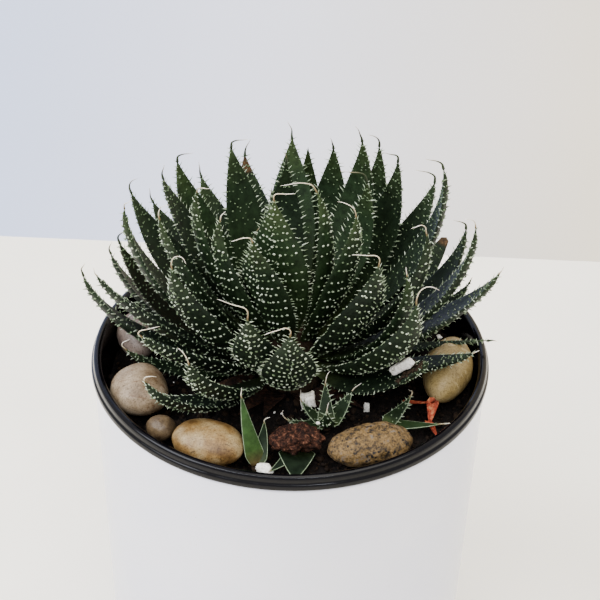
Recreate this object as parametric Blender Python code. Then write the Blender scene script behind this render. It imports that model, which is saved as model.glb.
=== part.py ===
"""Potted lace aloe: a rosette of pointed leaves in a black grow pot that hangs in a white cover pot.

Everything below is in millimetres. The origin is the middle of the cover pot's flat underside and +Z is up.
"""

from collections import namedtuple
import math

import bmesh
import bpy
import numpy as np

MM = 0.001

# The two pots and the soil. The grow pot's lip lies over the cover pot's edge, GAP above it.
GAP = 0.3
RIM_Z = 130.0
RIM_RADIUS = 65.0
LIP_UNDER_Z = 125.0
COVER_FOOT_RADIUS = 59.4
COVER_EDGE_RADIUS = 64.1
COVER_FLOOR_Z = 6.0
GROW_FLOOR_Z = 7.0
GROW_FLOOR_THICK = 1.2
DRAIN_RADIUS = 4.0
DRAIN_RING_RADIUS = 32.0
DRAIN_HOLES = 5
SOIL_Z = 117.0
SOIL_CROWN_Z = 120.2
ROUND_STEPS = 40

# The stem is a cone that the leaves are set round, given as radius and height from its foot to its top.
STEM = [(11.0, 108.0), (11.0, 119.0), (10.0, 124.0), (5.6, 138.0)]
STEM_TOP_Z = 140.0
STEM_STEPS = 20
FOOT_GAP = 0.6
YOUNG_FOOT_RADIUS = 3.0

# The shape that all leaves share, as shares of their length, width or thickness.
WIDEST_AT = 0.42
FOOT_SHARE = 0.22
LEAF_THICK = 3.4
CUP_SHARE = 0.20
OUTER_SHARE = 0.62
INNER_SHARE = 0.30
BROKEN_AT = 0.86

Leaf = namedtuple("Leaf", "azimuth reach height width bow foot roll")

# Each leaf of the rosette: the direction of its tip in degrees from +X, the tip's distance from the axis, its
# height above the rim, the greatest width, how far it bows outwards as a share of its length, the height of its
# foot, and how many degrees it is rolled about its own length.
# They run from the lowest leaves to the steepest.
LEAVES = [
    Leaf(186, 54, 3, 8.6, 0.13, 123, -10),
    Leaf(43.5, 72, 12, 13.9, 0.13, 122.5, -3),
    Leaf(114, 70.5, 12.5, 14.5, 0.06, 124.5, 0),
    Leaf(347, 60.5, 11, 12.8, 0.05, 121.5, 10),
    Leaf(62, 72, 15.5, 15.4, 0.10, 122.5, 6),
    Leaf(20.5, 63, 13.5, 13.4, 0.16, 123, 0),
    Leaf(85.5, 69.5, 16, 15.4, 0.06, 125.5, -1),
    Leaf(224.5, 62, 20, 13.6, 0.16, 123.5, -13),
    Leaf(161, 63.5, 23, 15.1, 0.18, 125, -27),
    Leaf(328.5, 51, 17, 17, 0.12, 125.5, -7),
    Leaf(177, 67.5, 26, 15.2, 0.18, 125, -26),
    Leaf(98, 58.5, 21.5, 13.9, 0.24, 123, 2),
    Leaf(139, 63, 30, 15.4, 0.10, 126.5, 7),
    Leaf(357.5, 66, 35, 16, 0.10, 126, 12),
    Leaf(235, 53.5, 27.5, 14.6, 0.16, 126, -21),
    Leaf(165, 58.5, 31, 13.9, 0.15, 127, 6),
    Leaf(218, 58, 31, 16, 0.06, 126, -24),
    Leaf(22.5, 61, 34.5, 14.7, 0.22, 125, 6),
    Leaf(123, 58, 36, 15, 0.10, 128.5, 3),
    Leaf(195, 63, 40, 15, 0.08, 126, -18),
    Leaf(152, 60.5, 42, 15.2, 0.12, 128.5, 1),
    Leaf(33, 54.5, 48, 15, 0.12, 129, 0),
    Leaf(322, 48.5, 42, 17, 0.18, 129, 24),
    Leaf(358, 57, 52, 15, 0.18, 129, 12),
    Leaf(270, 46.5, 41, 17.2, 0.09, 124, -5),
    Leaf(110.5, 48, 47, 15.1, 0.10, 130, 13),
    Leaf(178, 53, 53.5, 16, 0.16, 130, -14),
    Leaf(85, 47.5, 48.5, 12.6, 0.24, 129, -3),
    Leaf(252, 42, 42, 15.5, 0.12, 130, -12),
    Leaf(56.5, 49.5, 54, 14.4, 0.20, 126.5, 1),
    Leaf(142, 48.5, 53.5, 15.4, 0.10, 130, 3),
    Leaf(215, 44.5, 50, 17, 0.12, 130.5, -24),
    Leaf(333.5, 39.5, 44, 12.7, 0.21, 130.5, 13),
    Leaf(91.5, 45, 54, 16, 0.08, 132.5, -2),
    Leaf(42.5, 45, 55, 15.4, 0.17, 132.5, -1),
    Leaf(351.5, 42, 51.5, 16, 0.17, 131, 22),
    Leaf(160.5, 44.5, 56.5, 15.2, 0.06, 131.5, -4),
    Leaf(194.5, 42.5, 58, 16, 0.08, 131.5, -12),
    Leaf(10, 47, 67, 15.4, 0.18, 134.5, 8),
    Leaf(317, 36, 52, 18, 0.10, 132, 12),
    Leaf(70.5, 36.5, 57, 14.8, 0.19, 131.5, 6),
    Leaf(128, 33.5, 61.5, 14.5, 0.05, 131.5, 0),
    Leaf(51, 33.5, 65, 15.7, 0.16, 134, 3),
]
BROKEN_LEAF = 2

# The inner leaves, which are still joined to the stem's top and to each other at their feet.
YOUNG_LEAVES = [
    Leaf(239.5, 24, 57, 17.5, 0.04, 133, 0),
    Leaf(204, 24.5, 57.5, 15.4, 0.13, 135.5, -13),
    Leaf(187.5, 30, 64, 16, 0.12, 133, -12),
    Leaf(336.5, 21, 59, 17, 0.08, 133, 12),
    Leaf(249.5, 17, 69, 18.5, 0.02, 134.5, 2),
    Leaf(36.5, 28.5, 55.5, 13, 0.15, 136, -11),
    Leaf(96.5, 24.5, 57.5, 12, 0.14, 136.5, 6),
    Leaf(337.5, 7.5, 64, 13, 0.10, 133, 0),
    Leaf(20, 12, 42, 10, 0.08, 133, 0),
    Leaf(170, 12, 44, 10, 0.08, 133, 0),
]

Sprout = namedtuple("Sprout", "tip width bow")

# The young plants at the foot of the rosette: where each stands, and the tips of its leaves.
OFFSETS = {
    "offset_1": ((-9.5, -46.0, 117.6), [
        Sprout((-14.8, -37.0, 140.0), 8.0, 0.05),
        Sprout((-8.5, -38.0, 131.0), 6.0, 0.05),
    ]),
    "offset_2": ((3.0, -39.0, 118.0), [
        Sprout((3.5, -55.0, 121.5), 13.0, 0.04),
        Sprout((-6.5, -51.0, 121.0), 8.0, 0.04),
    ]),
    "offset_3": ((12.0, -27.5, 119.6), [
        Sprout((20.0, -21.0, 128.2), 7.0, 0.12),
        Sprout((11.5, -19.5, 133.0), 6.5, 0.04),
        Sprout((4.0, -24.0, 129.0), 6.5, 0.12),
        Sprout((-0.5, -30.0, 126.0), 6.0, 0.10),
        Sprout((13.5, -31.0, 133.0), 7.5, 0.12),
    ]),
    "offset_4": ((31.0, -25.0, 117.8), [
        Sprout((48.5, -28.0, 124.0), 9.0, 0.05),
        Sprout((39.0, -19.0, 128.0), 7.0, 0.10),
    ]),
}
OFFSET_FOOT_RADIUS = 2.6
OFFSET_FOOT_HIGH = 3.0
OFFSET_THICK = 2.4

Stone = namedtuple("Stone", "x y z along across high turn waves")

# The river stones: centre, half sizes, turn in degrees about +Z, and the phase of their unevenness.
STONES = [
    Stone(-50.6, 13.5, 123.6, 9.5, 7.0, 6.0, 100, 0.4),
    Stone(-48.7, -16.0, 124.4, 11.0, 9.0, 7.0, 108, 1.9),
    Stone(-40.5, -31.0, 121.4, 5.0, 4.2, 4.0, 140, 3.1),
    Stone(-25.0, -40.0, 123.4, 11.2, 9.6, 6.2, 165, 4.4),
    Stone(25.5, -39.0, 123.2, 13.2, 8.6, 6.0, 14, 5.2),
    Stone(51.3, -3.0, 125.1, 14.5, 8.0, 7.0, 78, 0.9),
    Stone(-8.0, 50.0, 122.4, 11.0, 7.5, 5.2, 8, 2.6),
]
STONE_WAVE = 0.05

BARK_CENTRE = (3.0, -38.8, 125.0)
BARK_HALF = (9.0, 4.6, 3.3)
PERLITE_CENTRE = (35.3, -20.7, 140.1)
PERLITE_HALF = (4.6, 1.5, 1.4)
PERLITE_TURN = -15.0
PERLITE_STANDS = (-0.61, 0.23, 0.76)


def clear_scene():
    """Take away whatever the startup scene holds."""
    for thing in list(bpy.data.objects):
        bpy.data.objects.remove(thing, do_unlink=True)


def principled(name, colour, roughness, metallic=0.0):
    """A plain material of one colour, given as linear red, green and blue."""
    made = bpy.data.materials.new(name)
    made.use_nodes = True
    shader = made.node_tree.nodes["Principled BSDF"]
    shader.inputs["Base Color"].default_value = (*colour, 1.0)
    shader.inputs["Roughness"].default_value = roughness
    shader.inputs["Metallic"].default_value = metallic
    return made


def signed_volume(points, faces):
    """Six times the volume that the faces close in, which is negative when they face inwards."""
    total = 0.0
    for face in faces:
        first = points[face[0]]
        for second, third in zip(face[1:-1], face[2:]):
            total += float(np.dot(first, np.cross(points[second], points[third])))
    return total


def add_body(name, points, faces, material, smooth=True):
    """One named object from points in millimetres, with its faces turned outwards."""
    points = np.asarray(points, float)
    if signed_volume(points, faces) < 0:
        faces = [face[::-1] for face in faces]
    mesh = bpy.data.meshes.new(name)
    mesh.from_pydata((points * MM).tolist(), [], faces)
    mesh.materials.append(material)
    mesh.shade_smooth() if smooth else mesh.shade_flat()
    body = bpy.data.objects.new(name, mesh)
    bpy.context.scene.collection.objects.link(body)
    return body


def turned(profile, steps):
    """Points and faces of a profile of (radius, z) turned about the axis.

    Its two ends lie on the axis. An end that is level with its neighbour becomes one flat disc.
    """
    points = []
    for radius, z in profile[1:-1]:
        for step in range(steps):
            angle = 2 * math.pi * step / steps
            points.append((radius * math.cos(angle), radius * math.sin(angle), z))
    faces = []
    top = len(points) - steps
    for step in range(steps):
        after = (step + 1) % steps
        for low in range(0, top, steps):
            high = low + steps
            faces.append((low + step, low + after, high + after, high + step))
    for start, end, beside in ((0, profile[0], profile[1]), (top, profile[-1], profile[-2])):
        ring = list(range(start, start + steps))
        if start == 0:
            ring.reverse()
        if abs(end[1] - beside[1]) < 1e-6:
            faces.append(tuple(ring))
            continue
        points.append((0.0, 0.0, end[1]))
        faces += [(ring[step], ring[(step + 1) % steps], len(points) - 1) for step in range(steps)]
    return points, faces


def width_share(along, broken):
    """The leaf's width at each place along it, as a share of its greatest width."""
    rise = np.sin(np.clip(along / WIDEST_AT, 0, 1) * math.pi / 2) ** 1.25
    foot_side = FOOT_SHARE + (1 - FOOT_SHARE) * rise
    left = np.clip((along - WIDEST_AT) / (1 - WIDEST_AT), 0, 1)
    if broken:
        left = left * BROKEN_AT
    tip_side = (1 - left) ** 1.31 * (1 + 2 * left)
    return np.where(along > WIDEST_AT, tip_side, foot_side) / 1.047


def leaf_shape(foot, tip, width, thick, bow, roll=0.0, rings=8, sides=8, broken=False):
    """Points and faces of one leaf.

    Its middle line is a cubic curve from foot to tip that bows outwards and down. Across it lies a flattened
    ring, thicker on the outer face, whose edges are lifted so that the inner face is cupped. The ring is rolled
    about the middle line by roll degrees.
    """
    foot = np.array(foot, float)
    tip = np.array(tip, float)
    chord = tip - foot
    length = np.linalg.norm(chord)
    heading = np.array([chord[0], chord[1], 0.0]) / math.hypot(chord[0], chord[1])
    side = np.cross([0.0, 0.0, 1.0], heading)
    outer = np.cross(side, chord / length)
    if outer @ (heading - np.array([0.0, 0.0, 1.0])) < 0:
        outer = -outer
    near = foot + 0.30 * chord + 1.25 * bow * length * outer
    far = foot + 0.72 * chord + 1.45 * bow * length * outer
    along = (1 - (1 - np.linspace(0, 1, rings)) ** 1.15)[:-1]
    t = along[:, None]
    line = (1 - t) ** 3 * foot + 3 * t * (1 - t) ** 2 * near + 3 * t * t * (1 - t) * far + t ** 3 * tip
    ahead = (1 - t) ** 2 * (near - foot) + 2 * t * (1 - t) * (far - near) + t * t * (tip - far)
    ahead /= np.linalg.norm(ahead, axis=1)[:, None]
    face_out = np.cross(side, ahead)
    face_out *= np.sign(face_out @ outer)[:, None]
    half = width_share(along, broken)[:, None] * width / 2
    thinning = 0.35 + 0.65 * np.clip((1 - along) / 0.7, 0, 1) ** 0.8
    foot_thin = 0.45 + 0.55 * np.clip(along / 0.35, 0, 1)
    deep = np.minimum(thick * (thinning * foot_thin)[:, None], half * 1.3)
    angle = np.arange(sides) / sides * 2 * math.pi
    across = half * np.cos(angle)
    share = np.where(np.sin(angle) > 0, OUTER_SHARE, INNER_SHARE)
    out = deep * share * np.sin(angle) - CUP_SHARE * half * np.cos(angle) ** 2
    turn = math.radians(roll)
    rolled_side = (side * math.cos(turn) + face_out * math.sin(turn))[:, None]
    rolled_out = (face_out * math.cos(turn) - side * math.sin(turn))[:, None]
    ring_points = line[:, None] + across[..., None] * rolled_side + out[..., None] * rolled_out
    points = np.vstack([ring_points.reshape(-1, 3), foot, tip])
    faces = []
    count = len(along)
    for step in range(sides):
        after = (step + 1) % sides
        faces.append((count * sides, after, step))
        for ring in range(count - 1):
            low = ring * sides
            high = low + sides
            faces.append((low + step, low + after, high + after, high + step))
        end = (count - 1) * sides
        faces.append((count * sides + 1, end + step, end + after))
    return points, faces


def polar(azimuth, radius, z):
    """The point at this direction in degrees, distance from the axis and height."""
    angle = math.radians(azimuth)
    return (radius * math.cos(angle), radius * math.sin(angle), z)


def stem_radius(z):
    """The stem's radius at this height."""
    return float(np.interp(z, [height for _, height in STEM], [radius for radius, _ in STEM]))


def join(base, others):
    """Unite the bodies into base by exact Booleans and take the others away."""
    for number, other in enumerate(others):
        union = base.modifiers.new(f"join_{number}", "BOOLEAN")
        union.operation = "UNION"
        union.solver = "EXACT"
        union.object = other
    settle(base)
    for other in others:
        bpy.data.objects.remove(other, do_unlink=True)


def settle(base):
    """Replace the object's mesh by what its modifiers make of it."""
    graph = bpy.context.evaluated_depsgraph_get()
    mesh = bpy.data.meshes.new_from_object(base.evaluated_get(graph))
    base.modifiers.clear()
    base.data = mesh


def build_pots(glaze, plastic, mix):
    """The cover pot, the grow pot with its rolled lip and drain holes, and the soil in it."""
    cover = [
        (0.0, 0.0),
        (COVER_FOOT_RADIUS - 2.0, 0.0),
        (COVER_FOOT_RADIUS - 0.5, 0.6),
        (COVER_FOOT_RADIUS, 2.2),
        (COVER_EDGE_RADIUS, LIP_UNDER_Z - 2.2),
        (COVER_EDGE_RADIUS, LIP_UNDER_Z - 1.0),
        (COVER_EDGE_RADIUS - 0.8, LIP_UNDER_Z - GAP),
        (COVER_EDGE_RADIUS - 1.6, LIP_UNDER_Z - GAP),
        (COVER_EDGE_RADIUS - 2.0, LIP_UNDER_Z - 1.0),
        (61.5, 118.0),
        (60.4, 110.0),
        (56.0, COVER_FLOOR_Z + 3.0),
        (54.5, COVER_FLOOR_Z),
        (0.0, COVER_FLOOR_Z),
    ]
    add_body("outer_pot", *turned(cover, ROUND_STEPS), glaze)
    inner_wall = [(60.8, 124.0), (60.1, 118.0), (58.4, 110.0), (49.2, 9.6)]
    grow = [
        (0.0, GROW_FLOOR_Z),
        (49.0, GROW_FLOOR_Z),
        (50.2, 8.4),
        (59.3, 110.0),
        (61.0, 118.0),
        (61.6, 124.0),
        (61.7, LIP_UNDER_Z),
        (RIM_RADIUS - 0.4, LIP_UNDER_Z),
        (RIM_RADIUS, LIP_UNDER_Z + 0.7),
        (RIM_RADIUS, RIM_Z - 1.5),
        (RIM_RADIUS - 0.8, RIM_Z - 0.3),
        (RIM_RADIUS - 1.8, RIM_Z),
        (RIM_RADIUS - 2.8, RIM_Z - 0.3),
        (RIM_RADIUS - 3.5, RIM_Z - 1.2),
        *inner_wall,
        (48.2, GROW_FLOOR_Z + GROW_FLOOR_THICK),
        (0.0, GROW_FLOOR_Z + GROW_FLOOR_THICK),
    ]
    pot = add_body("nursery_pot", *turned(grow, ROUND_STEPS), plastic)
    drill_drains(pot, plastic)
    soil = [
        (0.0, STEM[0][1] - GAP),
        (STEM[0][0] + GAP + 0.1, STEM[0][1] - GAP),
        (STEM[0][0] + GAP + 0.1, SOIL_CROWN_Z),
        (20.0, SOIL_CROWN_Z - 0.3),
        (40.0, SOIL_Z + 0.2),
        (59.5, SOIL_Z - 0.1),
        (inner_wall[2][0] - GAP, inner_wall[2][1]),
        (inner_wall[3][0] - GAP, inner_wall[3][1]),
        (47.6, GROW_FLOOR_Z + GROW_FLOOR_THICK + GAP),
        (0.0, GROW_FLOOR_Z + GROW_FLOOR_THICK + GAP),
    ]
    add_body("soil", *turned(soil, ROUND_STEPS), mix)


def drill_drains(pot, material):
    """Cut a ring of round drain holes through the grow pot's floor."""
    drills = []
    for number in range(DRAIN_HOLES):
        centre = polar(360.0 * number / DRAIN_HOLES, DRAIN_RING_RADIUS, 0.0)
        bar = [(0.0, GROW_FLOOR_Z - 2), (DRAIN_RADIUS, GROW_FLOOR_Z - 2),
               (DRAIN_RADIUS, GROW_FLOOR_Z + 4), (0.0, GROW_FLOOR_Z + 4)]
        points, faces = turned(bar, 12)
        drill = add_body(f"drill_{number}", np.array(points) + centre, faces, material)
        cut = pot.modifiers.new(f"drain_{number}", "BOOLEAN")
        cut.operation = "DIFFERENCE"
        cut.solver = "EXACT"
        cut.object = drill
        drills.append(drill)
    settle(pot)
    for drill in drills:
        bpy.data.objects.remove(drill, do_unlink=True)


def build_rosette(skin):
    """The separate leaves, and the stem with the young leaves that are still joined to it."""
    for number, leaf in enumerate(LEAVES, start=1):
        foot = polar(leaf.azimuth, stem_radius(leaf.foot) + FOOT_GAP, leaf.foot)
        tip = polar(leaf.azimuth, leaf.reach, RIM_Z + leaf.height)
        shape = leaf_shape(foot, tip, leaf.width, LEAF_THICK, leaf.bow, leaf.roll,
                           broken=number == BROKEN_LEAF)
        add_body(f"leaf_{number:02d}", *shape, skin)
    stem = [(0.0, STEM[0][1]), *STEM, (0.0, STEM_TOP_Z)]
    heart = add_body("heart", *turned(stem, STEM_STEPS), skin)
    young = []
    for number, leaf in enumerate(YOUNG_LEAVES):
        foot = polar(leaf.azimuth, YOUNG_FOOT_RADIUS, leaf.foot)
        tip = polar(leaf.azimuth, leaf.reach, RIM_Z + leaf.height)
        shape = leaf_shape(foot, tip, leaf.width, LEAF_THICK, leaf.bow, leaf.roll)
        young.append(add_body(f"young_{number}", *shape, skin))
    join(heart, young)


def build_offsets(skin):
    """The young plants at the foot of the rosette, each one body on a short foot."""
    for name, (place, sprouts) in OFFSETS.items():
        x, y, z = place
        foot = [
            (0.0, z),
            (OFFSET_FOOT_RADIUS, z),
            (OFFSET_FOOT_RADIUS * 0.8, z + OFFSET_FOOT_HIGH),
            (0.0, z + OFFSET_FOOT_HIGH + 0.5),
        ]
        points, faces = turned(foot, 10)
        plant = add_body(name, np.array(points) + (x, y, 0.0), faces, skin)
        leaves = []
        for number, sprout in enumerate(sprouts):
            start = (x, y, z + OFFSET_FOOT_HIGH * 0.6)
            shape = leaf_shape(start, sprout.tip, sprout.width, OFFSET_THICK, sprout.bow, rings=7, sides=6)
            leaves.append(add_body(f"{name}_{number}", *shape, skin))
        join(plant, leaves)


def tilt(stands):
    """The turn that brings +Z onto this direction by the shortest way."""
    stands = np.array(stands, float) / np.linalg.norm(stands)
    x, y, _ = np.cross([0.0, 0.0, 1.0], stands)
    cross = np.array([[0.0, 0.0, y], [0.0, 0.0, -x], [-y, x, 0.0]])
    return np.eye(3) + cross + cross @ cross / (1.0 + stands[2])


def lump(name, centre, half, turn, phase, wave, divisions, material, smooth=True, stands=(0.0, 0.0, 1.0)):
    """A rounded lump: a ball drawn out to half sizes, with slow waves in its surface.

    It is turned about +Z and then tilted until its upper side faces the direction stands.
    """
    ball = bmesh.new()
    bmesh.ops.create_icosphere(ball, subdivisions=divisions, radius=1.0)
    unit = np.array([tuple(vertex.co) for vertex in ball.verts])
    faces = [tuple(vertex.index for vertex in face.verts) for face in ball.faces]
    ball.free()
    swell = 1 + wave * (
        np.sin(2.1 * unit[:, 0] + phase)
        + np.sin(2.7 * unit[:, 1] + 1.7 * phase)
        + 0.6 * np.sin(3.9 * unit[:, 0] * unit[:, 1] + 2.3 * phase)
    )
    body = unit * swell[:, None] * half
    angle = math.radians(turn)
    spin = np.array([
        [math.cos(angle), -math.sin(angle), 0.0],
        [math.sin(angle), math.cos(angle), 0.0],
        [0.0, 0.0, 1.0],
    ])
    return add_body(name, body @ spin.T @ tilt(stands).T + centre, faces, material, smooth)


def build_ground_pieces(stone_look, bark_look, perlite_look):
    """The stones round the soil's edge, the clump of bark, and the bar of perlite on a leaf."""
    for number, stone in enumerate(STONES, start=1):
        lump(f"pebble_{number}", (stone.x, stone.y, stone.z), (stone.along, stone.across, stone.high),
             stone.turn, stone.waves, STONE_WAVE, 2, stone_look)
    lump("bark_clump", BARK_CENTRE, BARK_HALF, 4.0, 2.0, 0.08, 2, bark_look, smooth=False)
    lump("perlite_bar", PERLITE_CENTRE, PERLITE_HALF, PERLITE_TURN, 1.0, 0.04, 1, perlite_look, smooth=False,
         stands=PERLITE_STANDS)


def main():
    clear_scene()
    glaze = principled("white_glaze", (0.80, 0.79, 0.80), 0.15)
    plastic = principled("black_plastic", (0.012, 0.012, 0.013), 0.30)
    mix = principled("potting_mix", (0.030, 0.022, 0.016), 0.95)
    skin = principled("aloe_skin", (0.020, 0.050, 0.022), 0.45)
    stone_look = principled("river_stone", (0.42, 0.34, 0.24), 0.60)
    bark_look = principled("bark_fibre", (0.12, 0.055, 0.035), 0.90)
    perlite_look = principled("perlite", (0.78, 0.76, 0.72), 0.85)
    build_pots(glaze, plastic, mix)
    build_rosette(skin)
    build_offsets(skin)
    build_ground_pieces(stone_look, bark_look, perlite_look)


main()
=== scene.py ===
"""Looks for the potted lace aloe: leaves with white warts, teeth and bristles, stones, soil and the two pots.

Lengths in this script are in millimetres until a piece is made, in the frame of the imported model.
"""

from collections import namedtuple
import math

import bpy
from mathutils import Matrix
import numpy as np


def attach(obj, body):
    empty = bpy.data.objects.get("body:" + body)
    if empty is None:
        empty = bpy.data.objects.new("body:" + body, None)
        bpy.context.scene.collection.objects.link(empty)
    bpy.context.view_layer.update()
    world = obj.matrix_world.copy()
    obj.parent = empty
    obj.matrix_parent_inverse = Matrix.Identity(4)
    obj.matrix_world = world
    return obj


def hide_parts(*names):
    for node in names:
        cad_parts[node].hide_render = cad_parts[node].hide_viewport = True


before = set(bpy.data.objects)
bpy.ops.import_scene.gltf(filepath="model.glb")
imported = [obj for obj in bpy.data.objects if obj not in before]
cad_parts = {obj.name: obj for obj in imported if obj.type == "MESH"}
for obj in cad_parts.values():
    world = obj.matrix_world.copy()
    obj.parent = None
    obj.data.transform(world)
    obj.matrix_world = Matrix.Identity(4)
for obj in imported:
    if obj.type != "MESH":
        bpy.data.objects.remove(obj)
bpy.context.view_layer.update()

MM = 0.001
UP = np.array([0.0, 0.0, 1.0])
RIM_Z = 130.0
RIM_RADIUS = 65.0
SOIL_Z = 117.0

# The photograph's camera: it looks down at AIM from this distance and elevation, rolled a little.
AIM = np.array([2.7, 0.0, 150.0])
CAMERA_DISTANCE = 700.0
CAMERA_ELEVATION = 36.0
CAMERA_ROLL = 1.4
CAMERA_LENS = 130.8

# The stage: how far the wall stands behind the table's far edge, and how far it runs up and down from there.
WALL_BEHIND = 1600.0
WALL_HALF_HIGH = 2600.0

# The shape that all leaves share, as shares of their length, width or thickness.
WIDEST_AT = 0.42
FOOT_SHARE = 0.22
LEAF_THICK = 3.4
CUP_SHARE = 0.20
OUTER_SHARE = 0.62
INNER_SHARE = 0.30
BROKEN_AT = 0.86
GREEN_BRISTLE_Y = 2.0
DULL_BEHIND = 0.62

Leaf = namedtuple("Leaf", "foot tip width bow roll thick tone broken grain seed blade", defaults=[False])


# Making meshes


class Body:
    """Points and faces that become one piece. Each face has a material, each point two marks for the materials."""

    def __init__(self):
        self.points, self.corners, self.sizes, self.looks = [], [], [], []
        self.along, self.tone, self.count = [], [], 0

    def add(self, points, faces, look=0, along=0.0, tone=0.5):
        points = np.asarray(points, float).reshape(-1, 3)
        faces = np.asarray(faces, np.int64)
        self.points.append(points)
        self.corners.append((faces + self.count).ravel())
        self.sizes.append(np.full(len(faces), faces.shape[1]))
        self.looks.append(np.full(len(faces), look))
        self.along.append(np.broadcast_to(np.asarray(along, float), len(points)))
        self.tone.append(np.broadcast_to(np.asarray(tone, float), len(points)))
        self.count += len(points)

    def piece(self, name, looks, nodes=(), smooth=True):
        """The body as one object that rides on the plant's frame and stands for these nodes."""
        mesh = bpy.data.meshes.new(name)
        points = np.concatenate(self.points) * MM
        corners = np.concatenate(self.corners)
        sizes = np.concatenate(self.sizes)
        mesh.vertices.add(len(points))
        mesh.vertices.foreach_set("co", points.ravel())
        mesh.loops.add(len(corners))
        mesh.loops.foreach_set("vertex_index", corners.astype(np.int32))
        mesh.polygons.add(len(sizes))
        mesh.polygons.foreach_set("loop_start", (np.cumsum(sizes) - sizes).astype(np.int32))
        mesh.polygons.foreach_set("material_index", np.concatenate(self.looks).astype(np.int32))
        mesh.polygons.foreach_set("use_smooth", np.full(len(sizes), smooth))
        for mark, parts in (("along", self.along), ("tone", self.tone)):
            mesh.attributes.new(mark, "FLOAT", "POINT").data.foreach_set("value", np.concatenate(parts))
        mesh.update(calc_edges=True)
        for look in looks:
            mesh.materials.append(look)
        made = bpy.data.objects.new(name, mesh)
        bpy.context.scene.collection.objects.link(made)
        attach(made, "root")
        if nodes:
            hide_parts(*nodes)
        return made


def tube_faces(rings, steps):
    """Quads between rings of this many steps, closed round the rings."""
    ring = np.arange(rings - 1)[:, None] * steps
    step = np.arange(steps)
    after = (step + 1) % steps
    return np.stack([ring + step, ring + after, ring + steps + after, ring + steps + step], -1).reshape(-1, 4)


def fan_faces(steps, start, pole, turn):
    """Triangles from a ring that starts at start to its pole, wound one way or the other."""
    step = np.arange(steps)
    after = (step + 1) % steps
    pair = (start + after, start + step) if turn else (start + step, start + after)
    return np.stack([*pair, np.full(steps, pole)], -1)


def volume_of(points, faces):
    """Six times the volume that triangles or quads close in, negative if they face inwards."""
    first, second, third = (points[faces[:, k]] for k in range(3))
    total = np.einsum("ij,ij->", first, np.cross(second, third))
    if faces.shape[1] == 4:
        total += np.einsum("ij,ij->", first, np.cross(third, points[faces[:, 3]]))
    return total


def closed_tube(body, rings, first_pole, last_pole, look=0, along=0.0, tone=0.5):
    """Rings of points with a pole at each end, added as one closed skin that faces outwards."""
    count, steps = rings.shape[:2]
    points = np.vstack([rings.reshape(-1, 3), first_pole, last_pole])
    quads = tube_faces(count, steps)
    caps = np.vstack([
        fan_faces(steps, 0, count * steps, True),
        fan_faces(steps, (count - 1) * steps, count * steps + 1, False),
    ])
    if volume_of(points, quads) + volume_of(points, caps) < 0:
        quads, caps = quads[:, ::-1], caps[:, ::-1]
    marks = []
    for mark in (along, tone):
        mark = np.asarray(mark, float)
        if mark.ndim == 1:
            mark = np.concatenate([np.repeat(mark, steps), mark[:1], mark[-1:]])
        elif mark.ndim == 2:
            mark = np.concatenate([mark.ravel(), mark[0, :1], mark[-1, :1]])
        marks.append(np.broadcast_to(mark, len(points)))
    body.add(points, quads, look, *marks)
    body.count -= len(points)
    body.corners.append((caps + body.count).ravel())
    body.sizes.append(np.full(len(caps), 3))
    body.looks.append(np.full(len(caps), look))
    body.count += len(points)


def copies(body, template, faces, places, frames, look=0, along=0.0, tone=0.5):
    """One small shape set at many places, each turned and sized by its own three axes."""
    points = places[:, None] + np.einsum("vk,nkj->nvj", template, frames)
    count = template.shape[0]
    shifted = (faces[None] + (np.arange(len(places)) * count)[:, None, None]).reshape(-1, faces.shape[1])
    spread = [np.repeat(np.broadcast_to(np.asarray(mark, float), len(places)), count) for mark in (along, tone)]
    body.add(points.reshape(-1, 3), shifted, look, *spread)


def unit(vectors):
    """Vectors of length one along the last axis."""
    return vectors / np.maximum(np.linalg.norm(vectors, axis=-1, keepdims=True), 1e-9)


def dome_template(steps=6):
    """A low bead: a foot ring under the skin, a ring at two thirds of its height and a top point."""
    angle = np.arange(steps) / steps * 2 * np.pi
    round_ring = np.stack([np.cos(angle), np.sin(angle), np.zeros(steps)], -1)
    foot = round_ring * [1.0, 1.0, 0] + [0, 0, -0.35]
    upper = round_ring * [0.78, 0.78, 0] + [0, 0, 0.62]
    points = np.vstack([foot, upper, [[0, 0, 1.0]], [[0, 0, -0.35]]])
    quads = tube_faces(2, steps)
    faces = np.vstack([
        quads[:, [0, 1, 2]],
        quads[:, [0, 2, 3]],
        fan_faces(steps, steps, 2 * steps, False),
        fan_faces(steps, 0, 2 * steps + 1, True),
    ])
    return points, faces


def thorn_template(steps=4):
    """A pointed tooth: a foot ring under the skin, a waist, and a point that leans along the first axis."""
    angle = np.arange(steps) / steps * 2 * np.pi
    round_ring = np.stack([np.cos(angle), np.sin(angle), np.zeros(steps)], -1)
    foot = round_ring + [0, 0, -0.25]
    waist = round_ring * 0.50 + [0.10, 0, 0.45]
    points = np.vstack([foot, waist, [[0.35, 0, 1.0]], [[0, 0, -0.25]]])
    quads = tube_faces(2, steps)
    faces = np.vstack([
        quads[:, [0, 1, 2]],
        quads[:, [0, 2, 3]],
        fan_faces(steps, steps, 2 * steps, False),
        fan_faces(steps, 0, 2 * steps + 1, True),
    ])
    return points, faces


BEAD = dome_template()
THORN = thorn_template()


# Leaves


def width_share(t, broken):
    """The leaf's width at t, from its foot at 0 to its tip at 1, as a share of its greatest width."""
    rise = np.sin(np.clip(t / WIDEST_AT, 0, 1) * np.pi / 2) ** 1.25
    foot_side = FOOT_SHARE + (1 - FOOT_SHARE) * rise
    left = np.clip((t - WIDEST_AT) / (1 - WIDEST_AT), 0, 1) * (BROKEN_AT if broken else 1.0)
    tip_side = np.maximum(1 - left, 0) ** 1.31 * (1 + 2 * left)
    return np.where(t > WIDEST_AT, tip_side, foot_side) / 1.047


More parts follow.
